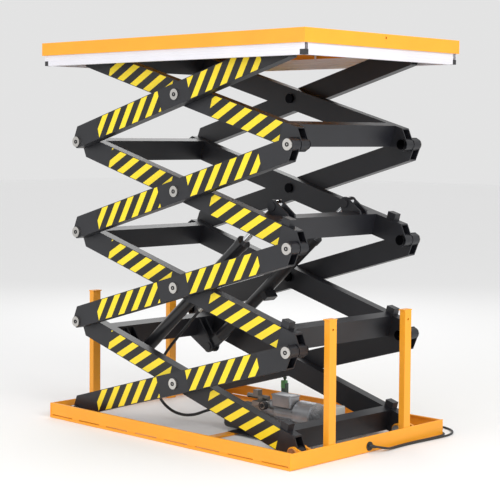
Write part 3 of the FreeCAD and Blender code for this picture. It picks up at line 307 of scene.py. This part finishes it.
def settle(piece, name, body, material, smooth=35):
    """Fixes a modelled piece in the row frame, gives it its finish and lets it ride."""
    if piece.mode != "OBJECT":
        bpy.ops.object.mode_set(mode="OBJECT")
    deselect()
    piece.select_set(True)
    bpy.context.view_layer.objects.active = piece
    bpy.ops.object.transform_apply(location=True, rotation=True, scale=True)
    bpy.ops.object.shade_smooth_by_angle(angle=math.radians(smooth))
    piece.name = name
    if not piece.data.materials:
        piece.data.materials.append(material)
    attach(piece, body)
    return piece


def merge(pieces):
    """Several pieces of one kind as one object."""
    deselect()
    for piece in pieces:
        piece.select_set(True)
    bpy.context.view_layer.objects.active = pieces[0]
    bpy.ops.object.join()
    return bpy.context.object


def pick_faces(piece, direction, share=0.95):
    """Edit mode with only the faces that look in a direction selected, in the piece's own axes."""
    bpy.ops.object.mode_set(mode="EDIT")
    bpy.ops.mesh.select_mode(type="FACE")
    bpy.ops.mesh.select_all(action="DESELECT")
    bpy.ops.object.mode_set(mode="OBJECT")
    for face in piece.data.polygons:
        face.select = face.normal.dot(Vector(direction)) > share
    bpy.ops.object.mode_set(mode="EDIT")


SLEEVE_LENGTH, RIBS, RIB_HALF, RIB_SWELL = 0.024, 4, 0.0006, 1.12


def cut_across(piece, heights):
    """Cuts a piece square to its own Z axis at each height."""
    for height in heights:
        bpy.ops.object.mode_set(mode="EDIT")
        bpy.ops.mesh.select_all(action="SELECT")
        matrix = piece.matrix_world
        bpy.ops.mesh.bisect(plane_co=matrix @ Vector((0, 0, height)),
                            plane_no=matrix.to_3x3() @ Vector((0, 0, 1)))
        bpy.ops.object.mode_set(mode="OBJECT")


def sleeve(place, direction, wide, narrow):
    """A tapered sleeve with four ribs."""
    deselect()
    middle = Vector(place) + Vector(direction).normalized() * SLEEVE_LENGTH / 2
    bpy.ops.mesh.primitive_cone_add(vertices=32, radius1=wide, radius2=narrow, depth=SLEEVE_LENGTH,
                                    location=middle, rotation=along(direction))
    cone = bpy.context.object
    ribs = [-SLEEVE_LENGTH / 2 + rib * SLEEVE_LENGTH / (RIBS + 1) for rib in range(1, RIBS + 1)]
    cut_across(cone, [rib + edge for rib in ribs for edge in (-RIB_HALF, RIB_HALF)])
    for vertex in cone.data.vertices:
        if any(abs(vertex.co.z - rib) < RIB_HALF + 0.0001 for rib in ribs):
            vertex.co.xy *= RIB_SWELL
    return cone


supply_boot = settle(
    sleeve((START + 0.003, -0.0196, 0.0306), (0.772, 0.628, -0.098), 0.0085, 0.0055),
    "supply_sleeve", "base", lead_rubber,
)
control_boot = settle(
    sleeve((START + 0.003, -0.0075, 0.0266), (0.74, 0.662, -0.119), 0.0075, 0.005),
    "control_sleeve", "base", lead_rubber,
)
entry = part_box("control_case")[1].x
handset_boot = settle(
    sleeve((entry - 0.001, control_middle[1] - 0.028, 0.0170), (1, -0.04, 0), 0.0075, 0.005),
    "handset_sleeve", "base", lead_rubber,
)

round(route_length(supply_route), 2)
round(route_length(control_route), 2)

# ---- Hydraulic hose ----
# A steel-braided rubber hose runs from the tank's outlet round under the near cylinder and up to
# its oil port. Each end is crimped in a steel ferrule with a hexagon nut.
joints = {joint["name"]: joint for joint in frame["joints"]}
hose_rubber = finish("hose_rubber", (0.009, 0.009, 0.010), 0.42, grain=700, depth=0.06)
dress("hydraulic_hose", hose_rubber)
fitting_zinc = finish("fitting_zinc", (0.55, 0.54, 0.50), 0.3, metallic=1, grain=400, depth=0.03)
# Begin and end along the fitting, radius and number of sides.
NUT = (0.0, 0.014, 0.0125, 6)
FERRULE = (0.014, 0.046, 0.0098, 40)
# Where each crimp groove begins and ends, from the ferrule's middle.
CRIMPS = ((-0.009, -0.006), (0.004, 0.007))
CRIMP_MARGIN, CRIMP_SHRINK = 0.0005, 0.9
# The near cylinder's oil port: along its tube from the lower pin, out of the tube's line, and across.
PORT_ALONG, PORT_OUT, PORT_ACROSS = 0.490, 0.052, -0.205
OUTLET_HEIGHT, HOSE_RADIUS = 0.086, 0.007


def hose_fitting(place, direction, name, body):
    """A ferrule with two crimp grooves and a nut, from the hose's end back along the hose."""
    direction = Vector(direction).normalized()
    pieces = []
    for part in (NUT, FERRULE):
        begin, end, radius, sides = part
        deselect()
        bpy.ops.mesh.primitive_cylinder_add(vertices=sides, radius=radius, depth=end - begin,
                                            location=Vector(place) + direction * (begin + end) / 2,
                                            rotation=along(direction))
        piece = bpy.context.object
        if part == FERRULE:
            cut_across(piece, [edge for crimp in CRIMPS for edge in crimp])
            for vertex in piece.data.vertices:
                if any(low - CRIMP_MARGIN < vertex.co.z < high + CRIMP_MARGIN for low, high in CRIMPS):
                    vertex.co.xy *= CRIMP_SHRINK
        bpy.ops.object.mode_set(mode="EDIT")
        bpy.ops.mesh.select_all(action="SELECT")
        bpy.ops.mesh.bevel(offset=0.0006, segments=2, affect="EDGES")
        bpy.ops.object.mode_set(mode="OBJECT")
        pieces.append(piece)
    settle(merge(pieces), name, body, fitting_zinc)


tank_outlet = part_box("oil_tank")[0].x
hose_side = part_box("hydraulic_hose")[1].y - HOSE_RADIUS
hose_fitting((tank_outlet + 0.003, hose_side, OUTLET_HEIGHT), (-1, 0, 0), "tank_hose_fitting", "base")
axis = Vector(joints["rod_stroke_near"]["axis"])
square = Vector((axis.z, 0, -axis.x))
port = Vector(joints["barrel_pivot_near"]["pos_m"]) + axis * PORT_ALONG + square * PORT_OUT
port.y = PORT_ACROSS
hose_fitting(port + axis * 0.006, -axis, "port_hose_fitting", "barrel_near")

# ---- Painted base frame and platform ----
# Folded and welded sheet steel with a thick yellow-orange powder coat. The stiffeners and tracks under
# the deck are steel too; their dark reddish brown is painted shade, for the shadow under the deck.
base_paint = finish("yellow_orange_paint", (0.90, 0.36, 0.012), 0.45,
                    grain=260, depth=0.12, shade=0.04, coat=0.1)
for node in ("base_side_rails", "base_end_plates", "base_cross_bars", "support_posts",
             "platform_deck", "platform_edge_frame"):
    dress(node, base_paint)
# Painted shade: a dark reddish brown for the orange steel under the deck, which lies in shadow.
painted_shade_under_deck = finish("painted_shade_under_deck", (0.16, 0.05, 0.022), 0.5, grain=260, depth=0.12, shade=0.1)
for node in ("platform_underframe", "platform_roller_tracks"):
    dress(node, painted_shade_under_deck)

# ---- Scissor arms ----
# Rectangular steel tubes with welded bearing tubes, sprayed satin black with a faint blue tone.
# The cross tubes, the cylinders' brackets and the power unit's plate have the same paint.
LEVELS = range(1, 5)
arm_paint = finish("black_arm_paint", (0.009, 0.0095, 0.013), 0.42, grain=320, depth=0.10, shade=0.2)
for level in LEVELS:
    for name in ("inner_arms_", "outer_arms_", "inner_cross_tubes_"):
        dress(name + str(level), arm_paint)
for node in ("barrel_brackets", "rod_brackets", "power_unit_plate"):
    dress(node, arm_paint)

# ---- Warning tape on the arms ----
# Yellow vinyl tape printed with black bands, stuck on both halves of every arm's outward face.
# Its bands lean at 45 degrees to the arm.
pivot_x, _, pivot_z = joints["lift"]["pos_m"]
middles = [Vector(joints[f"centre_pivot_{level}"]["pos_m"]) for level in LEVELS]
middle_x = middles[0].x
level_rise = middles[1].z - middles[0].z
half_arm = math.hypot(middles[0].z - pivot_z, pivot_x - middle_x)
# The end pins sit off the tube's own line, one above it and one below, so the tube lies flatter.
PIN_OFFSET = 0.040
slope = math.atan2(middles[0].z - pivot_z, pivot_x - middle_x) - math.asin(PIN_OFFSET / (2 * half_arm))
TAPE_HEIGHT, TAPE_THICK, BAND_PITCH, YELLOW_SHARE = 0.094, 0.0003, 0.095, 0.46
# Each patch: start and end along the arm from its centre pin, and where its first band begins.
OUTER_PATCHES = ((-0.556, -0.107, -0.553), (0.092, 0.548, 0.045))
INNER_PATCHES = ((-0.525, -0.086, -0.51), (0.180, 0.618, 0.15))


def axes(material, output):
    """The three coordinates of one of the finish's texture coordinates."""
    split = material.node_tree.nodes.new("ShaderNodeSeparateXYZ")
    place = material.node_tree.nodes["place"]
    material.node_tree.links.new(place.outputs[output], split.inputs["Vector"])
    return split.outputs


def reckon(material, operation, first, second=None):
    """A sum on the finish's nodes, with one output and a number or another output."""
    sum_node = material.node_tree.nodes.new("ShaderNodeMath")
    sum_node.operation = operation
    material.node_tree.links.new(first, sum_node.inputs[0])
    if isinstance(second, bpy.types.NodeSocket):
        material.node_tree.links.new(second, sum_node.inputs[1])
    elif second is not None:
        sum_node.inputs[1].default_value = second
    return sum_node.outputs[0]


def blacken(material, where):
    """Turns the finish black where the output is 1."""
    nodes, links = material.node_tree.nodes, material.node_tree.links
    cover = nodes.new("ShaderNodeMix")
    cover.data_type = "RGBA"
    cover.inputs["B"].default_value = (0.004, 0.004, 0.005, 1)
    links.new(where, cover.inputs["Factor"])
    links.new(nodes["tone"].outputs["Color"], cover.inputs["A"])
    links.new(cover.outputs["Result"], nodes["Principled BSDF"].inputs["Base Color"])


tape_vinyl = finish("tape_vinyl", (0.92, 0.70, 0.015), 0.4, grain=120, depth=0.04, shade=0.06)
run = axes(tape_vinyl, "UV")
lean = reckon(tape_vinyl, "SUBTRACT", run["X"], run["Y"])
turns = reckon(tape_vinyl, "DIVIDE", lean, BAND_PITCH)
share = reckon(tape_vinyl, "FLOORED_MODULO", turns, 1)
blacken(tape_vinyl, reckon(tape_vinyl, "GREATER_THAN", share, YELLOW_SHARE))


def tape(level, kind, face, patches):
    """The four patches of tape on one pair of arms."""
    rise = 1 if kind == "outer" else -1
    pieces = []
    for side in (-1, 1):
        for start, end, first in patches:
            deselect()
            tilt = -rise * slope
            middle = (start + end) / 2
            place = middles[level - 1] + Vector((
                middle * math.cos(slope),
                side * (face + TAPE_THICK / 2),
                middle * math.sin(slope) * rise,
            ))
            turn = (math.pi / 2, tilt, 0) if side < 0 else (math.pi / 2, -tilt, math.pi)
            bpy.ops.mesh.primitive_plane_add(size=1, location=place, rotation=turn)
            patch = bpy.context.object
            patch.scale = (end - start, TAPE_HEIGHT, 1)
            for corner in patch.data.uv_layers.active.data:
                u = (corner.uv.x - 0.5) * (end - start) + middle * -side
                corner.uv = (u - first * -side, (corner.uv.y - 0.5) * TAPE_HEIGHT)
            bpy.ops.object.transform_apply(location=True, rotation=True, scale=True)
            solid = patch.modifiers.new("thickness", "SOLIDIFY")
            solid.thickness = TAPE_THICK
            solid.offset = 0
            bpy.ops.object.modifier_apply(modifier="thickness")
            patch.data.materials.append(tape_vinyl)
            pieces.append(patch)
    joined = merge(pieces)
    joined.name = f"{kind}_tape_{level}"
    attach(joined, f"{kind}_{level}")


outer_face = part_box("outer_arms_1")[1].y
inner_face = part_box("inner_arms_1")[1].y
for level in LEVELS:
    tape(level, "outer", outer_face, OUTER_PATCHES)
    tape(level, "inner", inner_face, INNER_PATCHES)

# ---- Pins and axles ----
# Turned steel pins with zinc-plated heads, pressed up against the arms' outward faces. Between the
# outer arms, the pins of the four levels are coloured black.
pin_zinc = finish("pin_steel", (0.62, 0.60, 0.57), 0.28, metallic=1, grain=500, depth=0.03, shade=0.15)
for node in ("base_pivot_pins", "platform_pivot_pins", "base_roller_axles", "platform_roller_axles"):
    dress(node, pin_zinc)
# Black wherever the pin lies between the outer arms, by its distance across the table.
pin_black_between_arms = finish("pin_black_between_arms", (0.62, 0.60, 0.57), 0.28,
                     metallic=1, grain=500, depth=0.03, shade=0.15)
across = reckon(pin_black_between_arms, "ABSOLUTE", axes(pin_black_between_arms, "Object")["Y"])
blacken(pin_black_between_arms, reckon(pin_black_between_arms, "LESS_THAN", across, outer_face))
for level in LEVELS:
    dress(f"pivot_pins_{level}", pin_black_between_arms)

# ---- Locking screws of the pins ----
# A black hexagon socket screw with a washer rim sits in the middle of every pin's head and locks it.
# They are turned from steel and screwed into the pin. Their black colour is painted shade,
# for the dark recess in the middle of each pin's head.
SCREW_RADIUS, SCREW_HEIGHT, SCREW_RIM, SOCKET_DEPTH = 0.0095, 0.0032, 0.0012, 0.0022
# Painted shade: the screws are black all over to stand for the dark recess in each pin's head.
painted_shade_screw = finish("painted_shade_screw", (0.03, 0.03, 0.032), 0.35, metallic=0.8, grain=500, depth=0.02)


def socket_screw(place, side):
    """A screw head with a recess, facing the near (-1) or far (1) side."""
    deselect()
    bpy.ops.mesh.primitive_cylinder_add(vertices=36, radius=SCREW_RADIUS, depth=SCREW_HEIGHT,
                                        location=place, rotation=(-side * math.pi / 2, 0, 0))
    screw = bpy.context.object
    pick_faces(screw, (0, 0, 1))
    bpy.ops.mesh.inset(thickness=SCREW_RIM)
    bpy.ops.mesh.inset(thickness=SCREW_RADIUS * 0.35)
    bpy.ops.transform.resize(value=(0.92, 0.92, 0.92))
    bpy.ops.mesh.extrude_region_move(TRANSFORM_OT_translate={"value": (0, -side * SOCKET_DEPTH, 0)})
    bpy.ops.object.mode_set(mode="OBJECT")
    return screw


head_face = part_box("pivot_pins_2")[1].y
for level in LEVELS:
    spots = [middles[level - 1]]
    if level < LEVELS[-1]:
        spots.append(Vector((pivot_x, 0, pivot_z + level * level_rise)))
    if level > LEVELS[0]:
        spots.append(Vector((2 * middle_x - pivot_x, 0, pivot_z + (level - 1) * level_rise)))
    screws = []
    for spot in spots:
        for side in (-1, 1):
            screws.append(socket_screw(spot + Vector((0, side * (head_face + 0.0004), 0)), side))
    settle(merge(screws), f"pin_screws_{level}", f"outer_{level}", painted_shade_screw)

# ---- Rollers ----
# Solid turned steel wheels that run in the tracks of the base and of the platform, bare and worn
# dull by the rolling.
roller_steel = finish("roller_steel", (0.22, 0.22, 0.22), 0.35,
                      metallic=1, grain=300, depth=0.05, shade=0.2)
for node in ("base_roller_near", "base_roller_far", "platform_roller_near", "platform_roller_far"):
    dress(node, roller_steel)

# ---- Hydraulic cylinders ----
# Drawn steel barrels with a screwed gland, sprayed gloss black after assembly. The rods are ground
# steel with hard chrome, and an eye at each end is held by a pin between bracket plates.
barrel_paint = finish("black_cylinder_paint", (0.010, 0.010, 0.012), 0.28,
                      grain=350, depth=0.06, shade=0.2)
chrome = finish("rod_chrome", (0.75, 0.76, 0.78), 0.08, metallic=1, grain=300, depth=0.01, shade=0.05)
for side in ("near", "far"):
    dress(f"cylinder_barrel_{side}", barrel_paint)
    dress(f"cylinder_rod_{side}", chrome)

# ---- Safety frame ----
# Extruded aluminium profiles hang on springs under the platform's edge and stop the table when
# they meet something. Fine ribs run along them, and black moulded plastic corners join them.
RIB_PITCH, RIB_HEIGHT = 0.0125, 0.0006
aluminium = finish("frame_aluminium", (0.80, 0.79, 0.84), 0.4,
                   metallic=0.35, grain=600, depth=0.03, shade=0.03)
dress("safety_frame_profiles", aluminium)
nodes, links = aluminium.node_tree.nodes, aluminium.node_tree.links
wave = reckon(aluminium, "SINE", reckon(
    aluminium, "MULTIPLY", axes(aluminium, "Object")["Z"], math.tau / RIB_PITCH))
ribs = nodes.new("ShaderNodeBump")
ribs.inputs["Strength"].default_value = 0.5
ribs.inputs["Distance"].default_value = RIB_HEIGHT
links.new(wave, ribs.inputs["Height"])
links.new(nodes["bump"].outputs["Normal"], ribs.inputs["Normal"])
links.new(ribs.outputs["Normal"], nodes["Principled BSDF"].inputs["Normal"])
corner_plastic = finish("black_corner_plastic", (0.02, 0.02, 0.022), 0.5, grain=500, depth=0.08)
dress("safety_frame_corners", corner_plastic)

# ---- Motor, pump and valves ----
# A finned cast aluminium motor with a plastic fan behind its cover drives a steel pump and valve
# block. They are bolted together and to the black plate between the base's cross bars.
motor_silver = finish("motor_silver", (0.44, 0.45, 0.47), 0.36,
                      metallic=0.75, grain=200, depth=0.2, shade=0.3)
for node in ("motor_housing", "motor_fan_cover", "motor_terminal_box"):
    dress(node, motor_silver)
fan_plastic = finish("fan_plastic", (0.03, 0.03, 0.03), 0.5)
dress("motor_fan", fan_plastic)
valve_steel = finish("valve_steel", (0.33, 0.32, 0.30), 0.35,
                     metallic=0.9, grain=250, depth=0.1, shade=0.3)
dress("pump_and_valves", valve_steel)

# ---- Fan cover's grille ----
# Pressed aluminium end of the motor's fan cover, with concentric raised rings round a plain hub.
# It is pushed over the cover's rim.
RINGS, RING_WIDTH, GROOVE_DEPTH, RING_HEIGHT = 5, 0.0045, 0.004, 0.0044
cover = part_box("motor_fan_cover")
centre = (cover[0] + cover[1]) / 2
fan_radius = (cover[1].z - cover[0].z) / 2


def step_in(width, move):
    """Insets the selected face, and moves it in or out."""
    bpy.ops.mesh.inset(thickness=width)
    bpy.ops.mesh.extrude_region_move(TRANSFORM_OT_translate={"value": move})


deselect()
bpy.ops.mesh.primitive_cylinder_add(vertices=64, radius=fan_radius - 0.0005, depth=0.004,
                                    rotation=(0, math.pi / 2, 0),
                                    location=(cover[1].x + 0.001, centre.y, centre.z))
grille = bpy.context.object
pick_faces(grille, (0, 0, 1))
step_in(0.003, (0.004, 0, 0))
for ring in range(RINGS):
    step_in(RING_WIDTH, (-GROOVE_DEPTH, 0, 0))
    step_in(RING_WIDTH, (RING_HEIGHT, 0, 0))
settle(grille, "fan_grille", "base", motor_silver, 50)

# ---- Terminal box's lid ----
# A cast aluminium lid over the motor's terminal box, a millimetre proud of it all round. Four small
# screws at its corners hold it.
LID_PROUD, LID_HALF, SCREW_INSET = 0.001, 0.004, 0.009


def rounded_block(low, high, rim):
    """A block between two corners, with its edges rounded."""
    deselect()
    low, high = Vector(low), Vector(high)
    bpy.ops.mesh.primitive_cube_add(size=1, location=(low + high) / 2)
    block = bpy.context.object
    block.scale = high - low
    bpy.ops.object.transform_apply(location=False, rotation=False, scale=True)
    bpy.ops.object.mode_set(mode="EDIT")
    bpy.ops.mesh.select_all(action="SELECT")
    bpy.ops.mesh.bevel(offset=rim, segments=3, affect="EDGES")
    bpy.ops.object.mode_set(mode="OBJECT")
    return block


low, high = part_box("motor_terminal_box")
lids = [rounded_block((low.x - LID_PROUD, low.y - LID_PROUD, high.z - LID_HALF),
                      (high.x + LID_PROUD, high.y + LID_PROUD, high.z + LID_HALF), 0.0018)]
for x in (low.x + SCREW_INSET, high.x - SCREW_INSET):
    for y in (low.y + SCREW_INSET, high.y - SCREW_INSET):
        deselect()
        bpy.ops.mesh.primitive_cylinder_add(vertices=20, radius=0.0035, depth=0.003,
                                            location=(x, y, high.z + 0.005))
        screw = bpy.context.object
        pick_faces(screw, (0, 0, 1))
        step_in(0.001, (0, 0, -0.001))
        bpy.ops.object.mode_set(mode="OBJECT")
        lids.append(screw)
settle(merge(lids), "terminal_lid", "base", motor_silver)

# ---- Solenoid's cap ----
# A black moulded cap on the lowering valve's coil, with a raised rim round a sunk middle. A nut
# inside it holds the coil on its stem.
COIL_HEIGHT = 0.147
low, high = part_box("pump_and_valves")
deselect()
bpy.ops.mesh.primitive_cylinder_add(vertices=40, radius=0.0195, depth=0.022,
                                    rotation=(math.pi / 2, 0, 0),
                                    location=(high.x - 0.0175, low.y + 0.009, COIL_HEIGHT))
coil_cap = bpy.context.object
pick_faces(coil_cap, (0, 0, 1))
step_in(0.003, (0, 0.003, 0))
step_in(0.007, (0, -0.006, 0))
settle(coil_cap, "solenoid_cap", "base", corner_plastic)

# ---- Oil tank and its filler cap ----
# A blow-moulded black plastic tank beside the pump. Its round cap has finger grooves round the
# side and screws onto the tank's neck.
CAP_X, CAP_RADIUS, CAP_HEIGHT = 0.040, 0.019, 0.016
tank_plastic = finish("tank_plastic", (0.015, 0.015, 0.016), 0.45)
dress("oil_tank", tank_plastic)
low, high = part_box("oil_tank")
deselect()
bpy.ops.mesh.primitive_cylinder_add(vertices=24, radius=CAP_RADIUS, depth=CAP_HEIGHT,
                                    location=(CAP_X, low.y + 0.035, high.z + CAP_HEIGHT / 2))
cap = bpy.context.object
pick_faces(cap, (0, 0, 1))
bpy.ops.mesh.select_all(action="DESELECT")
bpy.ops.object.mode_set(mode="OBJECT")
for face in cap.data.polygons:
    face.select = abs(face.normal.z) < 0.1 and face.index % 2 == 0
bpy.ops.object.mode_set(mode="EDIT")
bpy.ops.mesh.inset(thickness=0.0008, use_individual=True)
bpy.ops.mesh.extrude_region_shrink_fatten(TRANSFORM_OT_shrink_fatten={"value": -0.0014})
settle(cap, "tank_filler_cap", "base", corner_plastic)

# ---- Control box ----
# A folded sheet steel box with a grey powder coat, screwed to the base. Its door stands a little
# proud, and a quarter-turn zinc lock keeps it shut.
box_paint = finish("grey_box_paint", (0.42, 0.42, 0.40), 0.5, grain=300, depth=0.15)
dress("control_box", box_paint)
low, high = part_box("control_box")
door = rounded_block((high.x - 0.003, low.y + 0.004, low.z + 0.006),
                     (high.x + 0.003, high.y - 0.004, high.z - 0.006), 0.0015)
settle(door, "control_box_door", "base", box_paint)
deselect()
bpy.ops.mesh.primitive_cylinder_add(vertices=24, radius=0.008, depth=0.005,
                                    rotation=(0, math.pi / 2, 0),
                                    location=(high.x + 0.0045, high.y - 0.018, (low.z + high.z) / 2))
lock = bpy.context.object
pick_faces(lock, (0, 0, 1))
step_in(0.002, (-0.002, 0, 0))
settle(lock, "control_box_lock", "base", fitting_zinc)

# ---- Limit switch ----
# A dark plastic switch body on the far rail, which stops the lift at its top. Its moulded green
# head sits high on the near side.
switch_plastic = finish("switch_plastic", (0.03, 0.06, 0.05), 0.4)
dress("limit_switch", switch_plastic)
low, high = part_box("limit_switch")
switch_green = finish("switch_green", (0.10, 0.32, 0.12), 0.4)
head = rounded_block((low.x + 0.005, low.y, high.z - 0.062),
                     (high.x - 0.011, low.y + 0.024, high.z - 0.022), 0.003)
settle(head, "switch_head", "base", switch_green)

# ---- Cable gland ----
# A rubber grommet, pressed into the hole of the pivot end plate where both leads leave the base.
# It keeps the plate's edge off the cables.
gland_rubber = finish("gland_rubber", (0.02, 0.02, 0.02), 0.6)
dress("cable_gland", gland_rubber)

# ---- Hand control and plug ----
# The hand control is a moulded yellow case with two black push buttons and a red stop button, all
# moulded plastic. The supply lead's plug is moulded in black plastic round its end.
plug_plastic = finish("plug_plastic", (0.02, 0.02, 0.022), 0.5)
dress("supply_plug", plug_plastic)
control_yellow = finish("control_yellow", (0.80, 0.42, 0.02), 0.45)
dress("control_case", control_yellow)
button_black = finish("button_black", (0.02, 0.02, 0.02), 0.4)
dress("up_button", button_black)
dress("down_button", button_black)
button_red = finish("button_red", (0.60, 0.015, 0.01), 0.35)
dress("stop_button", button_red)
